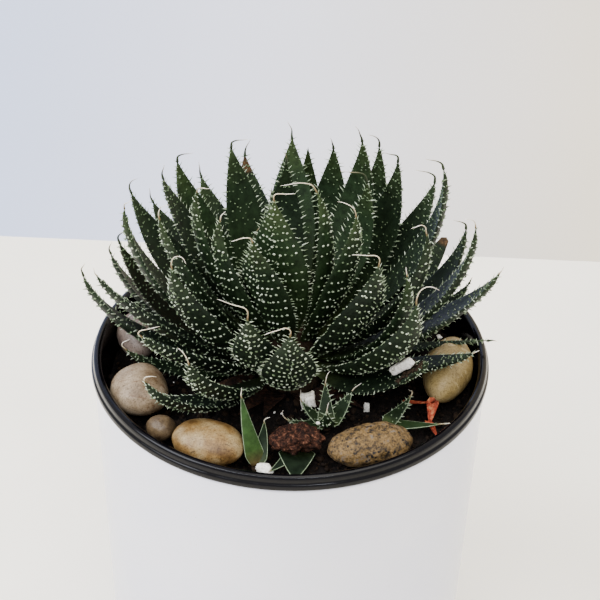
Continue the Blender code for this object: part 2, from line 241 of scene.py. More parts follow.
def blade_share(t):
    """A young or dead blade's width at t: it tapers almost evenly from a broad foot to its point."""
    return (0.55 + 0.45 * np.clip(t / 0.16, 0, 1)) * (1 - np.clip((t - 0.10) / 0.90, 0, 1) ** 1.15)


class LeafShape:
    """One leaf's surface as a function of t along it and an angle round it.

    Its middle line is a cubic curve from foot to tip that bows outwards and down. Round it lies a flattened
    ring, thicker on the outer face, with the edges lifted so that the inner face is cupped, and towards the tip
    a low keel along the middle of the outer face. Angle 0 and pi are the two edges, half pi is the outer middle.
    """

    def __init__(self, leaf):
        self.leaf = leaf
        self.foot, self.tip = np.array(leaf.foot, float), np.array(leaf.tip, float)
        chord = self.tip - self.foot
        self.length = np.linalg.norm(chord)
        self.heading = unit(np.array([chord[0], chord[1], 0.0]))
        self.side = np.cross(UP, self.heading)
        outer = unit(np.cross(self.side, chord))
        self.outer = outer if outer @ (self.heading - UP) > 0 else -outer
        self.near = self.foot + 0.30 * chord + 1.25 * leaf.bow * self.length * self.outer
        self.far = self.foot + 0.72 * chord + 1.45 * leaf.bow * self.length * self.outer

    def line(self, t):
        t = t[..., None]
        return ((1 - t) ** 3 * self.foot + 3 * t * (1 - t) ** 2 * self.near
                + 3 * t * t * (1 - t) * self.far + t ** 3 * self.tip)

    def ahead(self, t):
        t = t[..., None]
        return unit((1 - t) ** 2 * (self.near - self.foot) + 2 * t * (1 - t) * (self.far - self.near)
                    + t * t * (self.tip - self.far))

    def half(self, t):
        share = blade_share(t) if self.leaf.blade else width_share(t, self.leaf.broken)
        return share * self.leaf.width / 2

    def at(self, t, angle):
        """Points of the skin."""
        t, angle = np.broadcast_arrays(np.asarray(t, float), np.asarray(angle, float))
        face_out = np.cross(self.side, self.ahead(t))
        face_out = face_out * np.sign(face_out @ self.outer)[..., None]
        half = self.half(t)
        thin = 0.35 + 0.65 * np.clip((1 - t) / 0.7, 0, 1) ** 0.8
        foot_thin = 0.45 + 0.55 * np.clip(t / 0.35, 0, 1)
        deep = np.minimum(self.leaf.thick * thin * foot_thin, half * 1.3)
        across, lift = np.cos(angle), np.sin(angle)
        keel = 0.22 * np.clip((t - 0.45) / 0.4, 0, 1) * np.exp(-(across / 0.16) ** 2) * (lift > 0)
        out = deep * (np.where(lift > 0, OUTER_SHARE, INNER_SHARE) * lift + keel) - CUP_SHARE * half * across ** 2
        turn = math.radians(self.leaf.roll)
        side = self.side * math.cos(turn) + face_out * math.sin(turn)
        face_out = face_out * math.cos(turn) - self.side * math.sin(turn)
        return self.line(t) + (half * across)[..., None] * side + out[..., None] * face_out

    def axes(self, t, angle):
        """At each place, unit vectors across the leaf, along it, and out of its skin."""
        step = 0.004
        low, high = np.clip(t - step, 0, 1), np.clip(t + step, 0, 1)
        along = unit(self.at(high, angle) - self.at(low, angle))
        turn = 0.05
        round_it = self.at(t, angle + turn) - self.at(t, angle - turn)
        out = unit(np.cross(round_it, along))
        away = self.at(t, angle) - self.line(t)
        out = out * np.where(np.einsum("ij,ij->i", out, away) < 0, -1.0, 1.0)[:, None]
        return np.cross(along, out), along, out


def add_skin(body, shape, rings=34, steps=26, look=0, dry_from=2.0):
    """The leaf's skin on a grid that is closer where it narrows to the tip. Past dry_from it is dead and brown."""
    leaf = shape.leaf
    t = (1 - (1 - np.linspace(0, 1, rings)) ** 1.25)[:-1]
    angle = np.arange(steps) / steps * 2 * np.pi
    angle = angle - 0.18 * np.sin(2 * angle)
    rows = shape.at(t[:, None], angle[None])
    band = leaf.grain * 0.10 * np.cos(2 * np.pi * (t * shape.length) / 3.7)
    out = rows - shape.line(t)[:, None]
    rows = rows + unit(out) * (band[:, None] * np.sin(angle).clip(0, 1))[..., None]
    dead = np.clip((t - dry_from) / 0.04, 0, 1)
    closed_tube(body, rows, shape.foot, shape.tip, look, t, leaf.tone * (1 - dead) - dead)


def add_margin(body, shape, radius):
    """A pale cord along each edge of a leaf: a thin tube round the edge line that thins out at both ends."""
    t = np.linspace(0.04, 0.985, 30)
    angle = np.arange(5) / 5 * 2 * np.pi
    for edge in (0.0, np.pi):
        line = shape.at(t, np.full(len(t), edge))
        across, _, out = shape.axes(t, np.full(len(t), edge))
        thick = radius * np.sin(np.pi * np.clip(t, 0.1, 0.93)) ** 0.4 + 0.02
        ring = np.cos(angle)[None, :, None] * across[:, None] + np.sin(angle)[None, :, None] * out[:, None]
        rows = line[:, None] + thick[:, None, None] * ring
        closed_tube(body, rows, line[0], line[-1], 1, t, 0.55)


def add_crumbs(body, shape, rng):
    """Crumbs of dead leaf and bark caught on the inner face near the tip: turned, squashed beads of mixed sizes."""
    count = 70
    t = rng.uniform(0.72, 0.93, count)
    angle = np.pi * 1.5 + rng.normal(0, 0.55, count)
    size = rng.uniform(0.25, 0.75, count)
    _, _, out = shape.axes(t, angle)
    stand = unit(out + rng.normal(0, 0.8, (count, 3)))
    first = unit(np.cross(stand, rng.normal(size=(count, 3))))
    frames = right_handed(np.stack([first * (size * rng.uniform(0.8, 2.2, count))[:, None],
                                    np.cross(stand, first) * size[:, None], stand * (0.7 * size)[:, None]], 1))
    copies(body, *BEAD, shape.at(t, angle) + out * 0.2, frames, 3, 1.0, 0.5)


def add_grains(body, shape, rng):
    """White warts in curved bands across the outer face, closer together towards the tip, and a few between."""
    leaf = shape.leaf
    place = 0.10 * shape.length
    ts, spots, sizes = [], [], []
    while place < 0.965 * shape.length:
        t = place / shape.length
        half = float(shape.half(np.array(t)))
        count = max(2, int(round(half * 2 * leaf.grain / (1.75 if t < 0.75 else 1.45))))
        spot = (np.arange(count) + 0.5) / count * 2 - 1
        spot = spot + rng.normal(0, 0.22 / count, count)
        drift = rng.normal(0, 0.35) * spot + 0.9 * (spot ** 2 - 0.4) * np.clip(half / 6, 0, 1)
        keep = rng.random(count) < 0.93
        ts.append((t + (drift + rng.normal(0, 0.22, count)) / shape.length)[keep])
        spots.append((spot * 0.93)[keep])
        sizes.append((rng.uniform(0.32, 0.47, count) * np.clip(half / 4 + 0.35, 0.6, 1))[keep])
        place += (3.75 - 1.9 * np.clip((t - 0.55) / 0.4, 0, 1)) * rng.uniform(0.9, 1.1)
    loose = int(10 * leaf.grain)
    ts.append(rng.uniform(0.15, 0.9, loose))
    spots.append(rng.uniform(-0.9, 0.9, loose))
    sizes.append(rng.uniform(0.22, 0.34, loose))
    t = np.clip(np.concatenate(ts), 0.05, 0.975)
    spot = np.clip(np.concatenate(spots), -0.97, 0.97)
    size = np.concatenate(sizes)
    angle = np.arccos(spot)
    dull = DULL_BEHIND if leaf.tip[1] > GREEN_BRISTLE_Y else 1.0
    set_beads(body, shape, t, angle, size, rng, dull)
    rows = np.arange(0.30 * shape.length, 0.94 * shape.length, 2.9) / shape.length
    count = 6
    t = np.repeat(rows, count) + rng.normal(0, 0.5, count * len(rows)) / shape.length
    spot = np.tile((np.arange(count) + 0.5) / count * 1.7 - 0.85, len(rows)) + rng.normal(0, 0.08, len(t))
    keep = rng.random(len(t)) < 0.80 * leaf.grain
    spot = np.clip(spot[keep], -0.9, 0.9)
    set_beads(body, shape, np.clip(t[keep], 0.1, 0.95), -np.arccos(spot), rng.uniform(0.24, 0.36, keep.sum()),
              rng, 0.6 * dull)


def set_beads(body, shape, t, angle, size, rng, brightest=1.0):
    """Beads at these places, a little longer across the leaf; towards the tip they stand up as small teeth."""
    across, along, out = shape.axes(t, angle)
    tall = size * (0.75 + 0.9 * np.clip((t - 0.72) / 0.2, 0, 1))
    lean = np.clip((t - 0.6) / 0.3, 0, 1) * 0.6
    stand = unit(out + along * lean[:, None])
    frames = np.stack([
        across * (size * rng.uniform(1.0, 1.3, len(t)))[:, None],
        along * (size * rng.uniform(0.85, 1.05, len(t)))[:, None],
        stand * tall[:, None],
    ], 1)
    frames = right_handed(frames)
    copies(body, *BEAD, shape.at(t, angle), frames, 1, t, rng.uniform(0.2, 1.0, len(t)) * brightest)


def right_handed(frames):
    """The same axes with the first turned round where they would turn a shape inside out."""
    flip = np.sign(np.linalg.det(frames))
    frames = frames.copy()
    frames[:, 0] *= flip[:, None]
    return frames


def add_teeth(body, shape, rng, inner=True):
    """Soft white teeth along both edges and along the keel near the tip, each leaning towards the tip."""
    leaf = shape.leaf
    last = 0.80 if leaf.broken else 0.985
    edge = np.arange(0.12 * shape.length, last * shape.length, 1.75) / shape.length
    ts, angles, sizes, spread = [], [], [], []
    for edge_angle in (0.0, np.pi):
        count = len(edge)
        ts.append(edge + rng.normal(0, 0.25, count) / shape.length)
        angles.append(edge_angle + rng.normal(0, 0.10, count))
        sizes.append(rng.uniform(0.9, 2.0, count) * np.clip(0.55 + edge, 0.6, 1.05))
        spread.append(rng.uniform(0.17, 0.27, count))
    keel = np.arange(0.55 * shape.length, last * shape.length, 2.2) / shape.length
    ts.append(keel)
    angles.append(np.pi / 2 + rng.normal(0, 0.10, len(keel)))
    sizes.append(rng.uniform(0.8, 1.5, len(keel)))
    spread.append(rng.uniform(0.18, 0.26, len(keel)))
    if inner:
        top = rng.uniform(0.45, 0.93, int(10 * leaf.grain))
        ts.append(top)
        angles.append(np.pi * 1.5 + rng.normal(0, 0.7, len(top)))
        sizes.append(rng.uniform(0.4, 0.8, len(top)))
        spread.append(rng.uniform(0.16, 0.24, len(top)))
    set_thorns(body, shape, np.concatenate(ts), np.concatenate(angles), np.concatenate(sizes),
               np.concatenate(spread), rng)


def set_thorns(body, shape, t, angle, size, spread, rng):
    """Teeth at these places on the skin, of these lengths and foot sizes."""
    t = np.clip(t, 0.03, 0.985)
    across, along, out = shape.axes(t, angle)
    edge = np.abs(np.cos(angle)) > 0.8
    out = np.where(edge[:, None], unit(np.sign(np.cos(angle))[:, None] * shape.side + 0.25 * out), out)
    stand = unit(out + along * rng.uniform(0.25, 0.75, len(t))[:, None] + rng.normal(0, 0.12, (len(t), 3)))
    sideways = unit(np.cross(along, stand))
    lengthways = np.cross(stand, sideways)
    slim = np.minimum(spread, 0.35 * shape.half(t) + 0.12)
    frames = np.stack([lengthways * slim[:, None] * 1.25, sideways * slim[:, None], stand * size[:, None]], 1)
    frames = right_handed(frames)
    start = shape.at(t, angle)
    copies(body, *THORN, start, frames, 1, t, rng.uniform(0.35, 1.0, len(t)))


def add_awn(body, start, direction, towards, length, turn, green):
    """The bristle at a leaf's tip: a thin round thread that runs on, turns at a soft knee, and runs on.

    Where it is green, on the leaves behind, its root is as thick as the tip and it thins out evenly.
    """
    rings, steps = 22, 6
    share = np.linspace(0, 1, rings)
    wander = math.sin(7.0 * start[0] + 3.0 * start[1])
    knee = np.clip((share - 0.22 - 0.10 * wander) / (0.42 + 0.16 * wander), 0, 1)
    bend = np.radians(turn) * (0.2 * share + 0.8 * knee * knee * (3 - 2 * knee)) + 0.14 * np.sin(9 * share + 5 * wander)
    direction = unit(direction)
    towards = unit(towards - (towards @ direction) * direction)
    heading = np.cos(bend)[:, None] * direction + np.sin(bend)[:, None] * towards
    pace = length / (rings - 1)
    path = start + np.vstack([np.zeros(3), np.cumsum((heading[1:] + heading[:-1]) / 2 * pace, 0)])
    binormal = np.cross(direction, towards)
    normal = np.cross(binormal, heading)
    dry = 0.19 * (1 - share) ** 0.7 + 0.04 + 0.12 * np.clip(1 - share / 0.12, 0, 1)
    fresh = 0.07 + 0.42 * (1 - share) ** 1.5
    radius = fresh if green else dry
    angle = np.arange(steps) / steps * 2 * np.pi
    rows = path[:, None] + radius[:, None, None] * (
        np.cos(angle)[None, :, None] * normal[:, None] + np.sin(angle)[None, :, None] * binormal)
    closed_tube(body, rows, path[0] - direction * 0.3, path[-1] + heading[-1] * 0.1, 2, share, float(green))


def grow_leaf(body, leaf, awn, turn, way, rings=34, steps=26, dry_from=2.0):
    """A whole leaf: skin, warts, teeth and bristle. The bristle bends by turn degrees towards the direction way."""
    shape = LeafShape(leaf)
    rng = np.random.default_rng(leaf.seed)
    add_skin(body, shape, rings, steps, dry_from=dry_from)
    if leaf.grain > 0:
        add_grains(body, shape, rng)
        add_teeth(body, shape, rng)
    if awn > 0:
        ahead = shape.ahead(np.array(0.985))
        green = leaf.tip[1] > GREEN_BRISTLE_Y
        add_awn(body, shape.tip - ahead * 1.2, ahead, polar(way, 1.0, 0.0), awn + 1.2, turn, green)


# The leaves as on the photographed plant. For each: the direction of its tip in degrees from +X, the tip's
# distance from the axis and height over the rim, the leaf's width, how far it bows outwards as a share of its
# length, its foot's height, its roll in degrees, how many warts it has, its shade from dark to fresh green, and
# its bristle's length, bend in degrees and direction.
# TABLE START
LEAVES = [
    (186, 54, 3, 8.6, 0.13, 123, -10, 0.8, 0.45, (5, 120, 20)),
    (43.5, 72, 12, 13.9, 0.13, 122.5, -3, 0.8, 0.45, (0, 0, 0)),
    (114, 70.5, 12.5, 14.5, 0.06, 124.5, 0, 1, 0.45, (5, 60, 300)),
    (347, 60.5, 11, 12.8, 0.05, 121.5, 10, 1, 0.1, (1.5, 10, 90)),
    (62, 72, 15.5, 15.4, 0.10, 122.5, 6, 1, 0.45, (5, 60, 250)),
    (20.5, 63, 13.5, 13.4, 0.16, 123, 0, 1, 0.45, (1.5, 10, 180)),
    (85.5, 69.5, 16, 15.4, 0.06, 125.5, -1, 1, 0.45, (5, 60, 270)),
    (224.5, 62, 20, 13.6, 0.16, 123.5, -13, 1, 0.15, (5, 140, 20)),
    (161, 63.5, 23, 15.1, 0.18, 125, -27, 1, 0.25, (3.5, 60, 0)),
    (328.5, 51, 17, 17, 0.12, 125.5, -7, 1, 0.3, (0, 0, 0)),
    (177, 67.5, 26, 15.2, 0.18, 125, -26, 1, 0.3, (4, 50, 0)),
    (98, 58.5, 21.5, 13.9, 0.24, 123, 2, 0.7, 0.45, (4, 10, 0)),
    (139, 63, 30, 15.4, 0.10, 126.5, 7, 1, 0.45, (4, 20, 0)),
    (357.5, 66, 35, 16, 0.10, 126, 12, 1, 0.45, (2, 20, 90)),
    (235, 53.5, 27.5, 14.6, 0.16, 126, -21, 1, 0.25, (6.5, 50, 150)),
    (165, 58.5, 31, 13.9, 0.15, 127, 6, 1, -0.12, (7, 70, 0)),
    (218, 58, 31, 16, 0.06, 126, -24, 1, 0.2, (9, 130, 20)),
    (22.5, 61, 34.5, 14.7, 0.22, 125, 6, 1, 0.45, (5, 80, 180)),
    (123, 58, 36, 15, 0.10, 128.5, 3, 0.85, 0.7, (4, 10, 0)),
    (195, 63, 40, 15, 0.08, 126, -18, 1, 0.25, (2.5, 30, 0)),
    (152, 60.5, 42, 15.2, 0.12, 128.5, 1, 1, 0.5, (5.5, 90, 0)),
    (33, 54.5, 48, 15, 0.12, 129, 0, 1, 0.45, (8, 90, 180)),
    (322, 48.5, 42, 17, 0.18, 129, 24, 1, 0.35, (11, 120, 0)),
    (358, 57, 52, 15, 0.18, 129, 12, 1, 0.45, (4.5, 80, 180)),
    (270, 46.5, 41, 17.2, 0.09, 124, -5, 1, 0.25, (11, 130, 180)),
    (110.5, 48, 47, 15.1, 0.10, 130, 13, 0.8, 0.7, (5, 30, 0)),
    (178, 53, 53.5, 16, 0.16, 130, -14, 1, 0.6, (3.5, 60, 0)),
    (85, 47.5, 48.5, 12.6, 0.24, 129, -3, 0.45, 1.05, (0, 0, 0)),
    (252, 42, 42, 15.5, 0.12, 130, -12, 1, 0.3, (13, 70, 180)),
    (56.5, 49.5, 54, 14.4, 0.20, 126.5, 1, 1, 0.75, (6, 80, 180)),
    (142, 48.5, 53.5, 15.4, 0.10, 130, 3, 0.6, 1.05, (6, 90, 0)),
    (215, 44.5, 50, 17, 0.12, 130.5, -24, 1, 0.35, (9, 170, 0)),
    (333.5, 39.5, 44, 12.7, 0.21, 130.5, 13, 1, 0.6, (2, 20, 90)),
    (91.5, 45, 54, 16, 0.08, 132.5, -2, 0.5, 1, (5, 25, 180)),
    (42.5, 45, 55, 15.4, 0.17, 132.5, -1, 1, 0.6, (6.5, 80, 180)),
    (351.5, 42, 51.5, 16, 0.17, 131, 22, 1, 0.4, (7, 110, 180)),
    (160.5, 44.5, 56.5, 15.2, 0.06, 131.5, -4, 1, 0.45, (4, 30, 0)),
    (194.5, 42.5, 58, 16, 0.08, 131.5, -12, 1, 0.65, (6.5, 90, 0)),
    (10, 47, 67, 15.4, 0.18, 134.5, 8, 1, 0.45, (6.5, 70, 180)),
    (317, 36, 52, 18, 0.10, 132, 12, 1, 0.3, (11, 100, 180)),
    (70.5, 36.5, 57, 14.8, 0.19, 131.5, 6, 0.7, 0.7, (4, 20, 180)),
    (128, 33.5, 61.5, 14.5, 0.05, 131.5, 0, 0.8, 0.75, (6, 90, 0)),
    (51, 33.5, 65, 15.7, 0.16, 134, 3, 0.55, 0.8, (6, 25, 180)),
]
BROKEN_LEAF = 2
BROWN_TIP_LEAF = 26
BRUISED_LEAF = 16
CRUMBED_LEAF = 10

YOUNG_LEAVES = [
    (239.5, 24, 57, 17.5, 0.04, 133, 0, 1, 0.6, (7, 110, 180)),
    (204, 24.5, 57.5, 15.4, 0.13, 135.5, -13, 1, 0.6, (3, 30, 0)),
    (187.5, 30, 64, 16, 0.12, 133, -12, 1, 0.75, (4, 90, 0)),
    (336.5, 21, 59, 17, 0.08, 133, 12, 1, 0.7, (8, 70, 180)),
    (249.5, 17, 69, 18.5, 0.02, 134.5, 2, 1, 0.95, (8, 95, 0)),
    (36.5, 28.5, 55.5, 13, 0.15, 136, -11, 0.9, 0.8, (10, 80, 180)),
    (96.5, 24.5, 57.5, 12, 0.14, 136.5, 6, 0.7, 0.45, (4, 10, 180)),
    (337.5, 7.5, 64, 13, 0.10, 133, 0, 0.9, 0.9, (12, 80, 180)),
    (20, 12, 42, 10, 0.08, 133, 0, 0.8, 0.6, (3, 20, 180)),
    (170, 12, 44, 10, 0.08, 133, 0, 0.8, 0.6, (3, 20, 0)),
]
# TABLE END
DRY_FROM = {BROKEN_LEAF: 0.93, BROWN_TIP_LEAF: 0.86, BRUISED_LEAF: 0.97}
STEM = [(11.0, 108.0), (11.0, 119.0), (10.0, 124.0), (5.6, 138.0)]
STEM_TOP_Z = 140.0
FOOT_GAP = 0.6
YOUNG_FOOT_RADIUS = 3.0

# The young plants: where each stands, and for each leaf its tip, width, bow, tone, warts and bristle.
OFFSETS = {
    "offset_1": ((-9.5, -46.0, 117.6), [
        ((-14.8, -37.0, 140.0), 6.6, 0.05, 1.6, 0.0, (2.5, 10, 0)),
        ((-7.5, -39.0, 131.5), 5.5, 0.16, 0.5, 0.0, (2.5, 80, 0)),
    ]),
    "offset_2": ((3.0, -39.0, 118.0), [
        ((2.5, -54.6, 121.0), 12.0, 0.04, 0.3, 0.0, (3, 60, 0)),
        ((-5.6, -51.0, 121.0), 5.0, 0.04, 0.3, 0.0, (3, 40, 0)),
    ]),
    "offset_3": ((12.0, -27.5, 119.6), [
        ((20.0, -21.0, 130.0), 8.5, 0.10, 0.7, 0.5, (4, 30, 0)),
        ((11.5, -19.5, 132.0), 5.5, 0.04, 0.8, 0.2, (4, 40, 0)),
        ((4.0, -24.0, 128.0), 6.0, 0.12, 0.8, 0.3, (4, 30, 0)),
        ((-0.5, -30.0, 125.0), 5.5, 0.10, 0.7, 0.2, (5, 60, 0)),
        ((12.0, -31.5, 130.0), 6.5, 0.16, 0.7, 0.9, (3, 20, 0)),
    ]),
    "offset_4": ((31.0, -25.0, 117.8), [
        ((48.5, -28.0, 123.0), 5.5, 0.03, 1.1, 0.0, (5, 20, 0)),
        ((39.0, -19.0, 127.0), 6.0, 0.08, 0.7, 0.3, (6, 110, 90)),
    ]),
}
OFFSET_FOOT_HIGH = 3.0
OFFSET_THICK = 2.4
OFFSET_MARGIN = 0.11


def polar(azimuth, radius, z):
    """The point at this direction in degrees, distance from the axis and height."""
    angle = math.radians(azimuth)
    return np.array([radius * math.cos(angle), radius * math.sin(angle), z])


def turned_rows(profile, steps):
    """A profile of (radius, z) turned about the axis, as rings of points."""
    profile = np.asarray(profile, float)
    angle = np.arange(steps) / steps * 2 * np.pi
    rows = np.empty((len(profile), steps, 3))
    rows[..., 0] = profile[:, :1] * np.cos(angle)
    rows[..., 1] = profile[:, :1] * np.sin(angle)
    rows[..., 2] = profile[:, 1:]
    return rows


def smooth_profile(points, repeats=3):
    """The profile with its corners cut again and again, which rounds them, its two ends kept."""
    points = np.asarray(points, float)
    for _ in range(repeats):
        low = points[:-1] * 0.75 + points[1:] * 0.25
        high = points[:-1] * 0.25 + points[1:] * 0.75
        inner = np.stack([low, high], 1).reshape(-1, 2)
        points = np.vstack([points[:1], inner[1:-1], points[-1:]])
    return points


def planted(row, foot_radius, thick, seed, broken=False):
    """The leaf that a row of the tables describes."""
    azimuth, reach, height, width, bow, foot_z, roll, grain, tone, _ = row
    return Leaf(polar(azimuth, foot_radius, foot_z), polar(azimuth, reach, RIM_Z + height), width, bow, roll,
                thick, tone, broken, grain, seed)


def build_rosette(looks):
    """The separate leaves, the stem with the young leaves on its top, and the young plants beside them."""
    stem_z, stem_radii = [z for _, z in STEM], [radius for radius, _ in STEM]
    for number, row in enumerate(LEAVES, start=1):
        body = Body()
        foot_radius = float(np.interp(row[5], stem_z, stem_radii)) + FOOT_GAP
        leaf = planted(row, foot_radius, LEAF_THICK, 100 + number, number == BROKEN_LEAF)
        grow_leaf(body, leaf, *row[-1], dry_from=DRY_FROM.get(number, 2.0))
        if number == CRUMBED_LEAF:
            add_crumbs(body, LeafShape(leaf), np.random.default_rng(77))
        body.piece(f"aloe_leaf_{number:02d}", looks, [f"leaf_{number:02d}"])
    heart = Body()
    stem = smooth_profile([(10.9, 108.3), *STEM[1:], (3.0, 139.4)], 2)
    closed_tube(heart, turned_rows(stem, 40), (0, 0, 108.0), (0, 0, STEM_TOP_Z), 3, 0.0, 0.2)
    for number, row in enumerate(YOUNG_LEAVES):
        grow_leaf(heart, planted(row, YOUNG_FOOT_RADIUS, LEAF_THICK, 300 + number), *row[-1])
    heart.piece("aloe_heart", looks, ["heart"])
    for name, (place, sprouts) in OFFSETS.items():
        plant = Body()
        x, y, z = place
        foot = turned_rows([(1.7, z), (1.7, z + 0.8), (1.1, z + 1.5)], 14) + [x, y, 0]
        closed_tube(plant, foot, (x, y, z), (x, y, z + 1.9), 3, 0.0, 0.3)
        for number, (tip, width, bow, tone, grain, bristle) in enumerate(sprouts):
            start = (x, y, z + OFFSET_FOOT_HIGH * 0.6)
            leaf = Leaf(start, tip, width, bow, 0, OFFSET_THICK, tone, False, grain, 400 + 10 * number, True)
            grow_leaf(plant, leaf, *bristle, rings=24, steps=20)
            add_margin(plant, LeafShape(leaf), OFFSET_MARGIN)
        plant.piece(f"aloe_{name}", looks, [name])


# Stones, bark and perlite


def packed_points(node):
    """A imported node's triangle corners in millimetres."""
    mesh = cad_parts[node].data
    points = np.empty(len(mesh.vertices) * 3, np.float32)
    mesh.vertices.foreach_get("co", points)
    corners = np.empty(len(mesh.loops), np.int32)
    mesh.loops.foreach_get("vertex_index", corners)
    return points.reshape(-1, 3)[corners].astype(float) / MM


def ball_rows(rings, steps):
    """Unit vectors on a grid of latitude and longitude, without its poles."""
    tall = np.linspace(0, np.pi, rings + 2)[1:-1, None]
    angle = np.arange(steps)[None] / steps * 2 * np.pi
    return np.stack([
        np.sin(tall) * np.cos(angle),
        np.sin(tall) * np.sin(angle),
        np.cos(tall) * np.ones_like(angle),
    ], -1)


def powers(unit_vectors):
    """The products of a unit vector's parts up to the fourth order, as columns."""
    x, y, z = np.moveaxis(unit_vectors, -1, 0)
    columns = [x ** a * y ** b * z ** c
               for order in range(5) for a in range(order + 1) for b in range(order + 1 - a)
               for c in [order - a - b]]
    return np.stack(columns, -1)


def wavy(points, scale, seed, octaves=4):
    """Smooth noise from sums of sine waves in random directions, halving in size and height at each octave."""
    rng = np.random.default_rng(seed)
    total = np.zeros(points.shape[:-1])
    for octave in range(octaves):
        for _ in range(5):
            way = unit(rng.normal(size=3)) * 2 * np.pi / scale * 2 ** octave
            total += np.sin(points @ way + rng.uniform(0, 6.28)) / 5 ** 0.5 / 2 ** octave
    return total


def refit(body, node, rings, steps, rough, scale, seed, look=0, tone=0.5, facets=0.0):
    """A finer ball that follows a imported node.

    The distance from the middle in each direction is fitted to the node's points by a polynomial of the
    direction, then roughened by noise of that scale.
    """
    points = packed_points(node)
    centre = (points.min(0) + points.max(0)) / 2
    away = points - centre
    distance = np.linalg.norm(away, axis=1)
    weights, *_ = np.linalg.lstsq(powers(away / distance[:, None]), distance ** -2, rcond=None)
    rows = ball_rows(rings, steps)
    fitted = (powers(rows) @ weights).clip(1e-5) ** -0.5
    surface = rows * fitted[..., None]
    swell = rough * wavy(surface, scale, seed)
    if facets:
        swell = swell + facets * np.abs(wavy(surface, scale * 2.2, seed + 1, 2))
    surface = surface + rows * swell[..., None]
    poles = []
    for end in (1.0, -1.0):
        pole = np.array([[0, 0, end]])
        reach = (powers(pole) @ weights).clip(1e-5) ** -0.5
        poles.append(centre + pole[0] * reach[0])
    closed_tube(body, surface + centre, poles[0], poles[1], look, 0.5, tone)
    return centre


def build_stones(looks):
    """Every river stone with its own stone look: pinkish grey, cream, brown, ochre, granular and long cream."""
    rough = {"pebble_5": 0.16, "pebble_3": 0.10}
    for number in range(1, 8):
        name = f"pebble_{number}"
        body = Body()
        refit(body, name, 60, 96, rough.get(name, 0.05), 5.0, 20 + number)
        body.piece(f"stone_{number}", [looks[name]], [name])


# Dead leaves round the stem's foot: direction, reach, height, width, bow, foot height and roll, as for the leaves.
DEAD_LEAVES = [
    (203, 31, -8.5, 7.0, -0.02, 120.4, 10), (219, 33, -9.0, 8.0, -0.03, 120.2, -8),
    (236, 29, -8.5, 7.0, -0.02, 120.6, 12), (252, 26, -8.0, 7.5, -0.04, 120.4, -6),
    (285, 22, -7.0, 7.0, -0.03, 120.8, 8), (302, 27, -8.5, 7.0, -0.02, 120.3, -10),
    (322, 31, -9.0, 7.0, -0.02, 120.4, 6),
]
# The orange-red scraps beside the right-hand sprout: foot, tip, width and bow.
RED_SCRAPS = [
    ((36.5, -14.5, 121.0), (47.5, -18.0, 124.5), 3.6, 0.06),
    ((46.2, -16.5, 124.5), (45.0, -24.5, 119.6), 4.4, 0.14),
    ((44.5, -23.0, 120.0), (47.5, -30.0, 119.0), 3.4, -0.05),
]
# A small leaf that lies out over the rim: foot, tip, width and bow.
SMALL_LEAF = ((24.0, 1.5, 127.0), (65.5, 3.0, 133.4), 5.6, -0.02)
# Loose perlite: middle, half sizes, turn in degrees and how square it is, from 1 for round to 0 for a block.
GRAINS = [
    ((-7.2, -47.6, 119.2), (2.6, 1.7, 1.3), -32, 0.8), ((6.1, -20.4, 125.6), (2.3, 1.9, 2.1), 15, 0.35),
    ((24.9, -16.2, 119.3), (0.9, 0.8, 1.6), 20, 0.5), ((-8.0, -42.6, 118.8), (0.7, 0.6, 0.6), 0, 0.9),
    ((9.3, -35.2, 128.0), (0.6, 0.5, 0.4), 0, 0.9), ((-52.0, -1.0, 118.4), (0.8, 0.6, 0.5), 40, 0.9),
    ((30.0, 45.0, 118.6), (1.5, 1.1, 0.9), 70, 0.8), ((-22.0, 48.0, 118.5), (1.2, 1.0, 0.8), 10, 0.7),
    ((50.0, 24.0, 118.5), (1.0, 0.8, 0.7), 120, 0.8), ((8.0, 53.0, 118.5), (1.4, 0.9, 0.8), 150, 0.6),
]


def add_chip(body, centre, half, turn, square, seed, look=0):
    """A broken lump: a ball whose parts are raised to a power to square it, with noise on it, turned about Z."""
    rows = ball_rows(14, 22)
    rows = np.sign(rows) * np.abs(rows) ** square
    rows = rows * (1 + 0.17 * wavy(rows, 1.3, seed, 3))[..., None] * np.asarray(half)
    angle = math.radians(turn)
    turned = np.array([[math.cos(angle), math.sin(angle), 0], [-math.sin(angle), math.cos(angle), 0], [0, 0, 1]])
    poles = np.array([[0, 0, half[2]], [0, 0, -half[2]]]) @ turned + centre
    closed_tube(body, rows @ turned + centre, poles[0], poles[1], look)


def build_loose_bits(leaf_looks, brown, red, perlite):
    """What lies loose on the soil and between the leaves."""
    dead = Body()
    for number, row in enumerate(DEAD_LEAVES):
        azimuth, reach, height, width, bow, foot_z, roll = row
        leaf = Leaf(polar(azimuth, 12.0, foot_z), polar(azimuth, reach, RIM_Z + height), width, bow, roll, 0.9, 0.5,
                    False, 0.0, 500 + number, True)
        add_skin(dead, LeafShape(leaf), 26, 20)
    dead.piece("dead_leaves", [brown])
    scraps = Body()
    for number, (foot, tip, width, bow) in enumerate(RED_SCRAPS):
        leaf = Leaf(foot, tip, width, bow, 20, 0.7, 0.5, False, 0.0, 520 + number, True)
        add_skin(scraps, LeafShape(leaf), 26, 20)
    scraps.piece("red_scraps", [red])
    small = Body()
    foot, tip, width, bow = SMALL_LEAF
    leaf = Leaf(foot, tip, width, bow, 0, 1.9, 0.6, False, 0.6, 530, True)
    grow_leaf(small, leaf, 2, 10, 0, rings=28, steps=20)
    small.piece("small_leaf", leaf_looks)
    grains = Body()
    for number, (centre, half, turn, square) in enumerate(GRAINS):
        add_chip(grains, centre, half, turn, square, 540 + number)
    grains.piece("loose_perlite", [perlite])


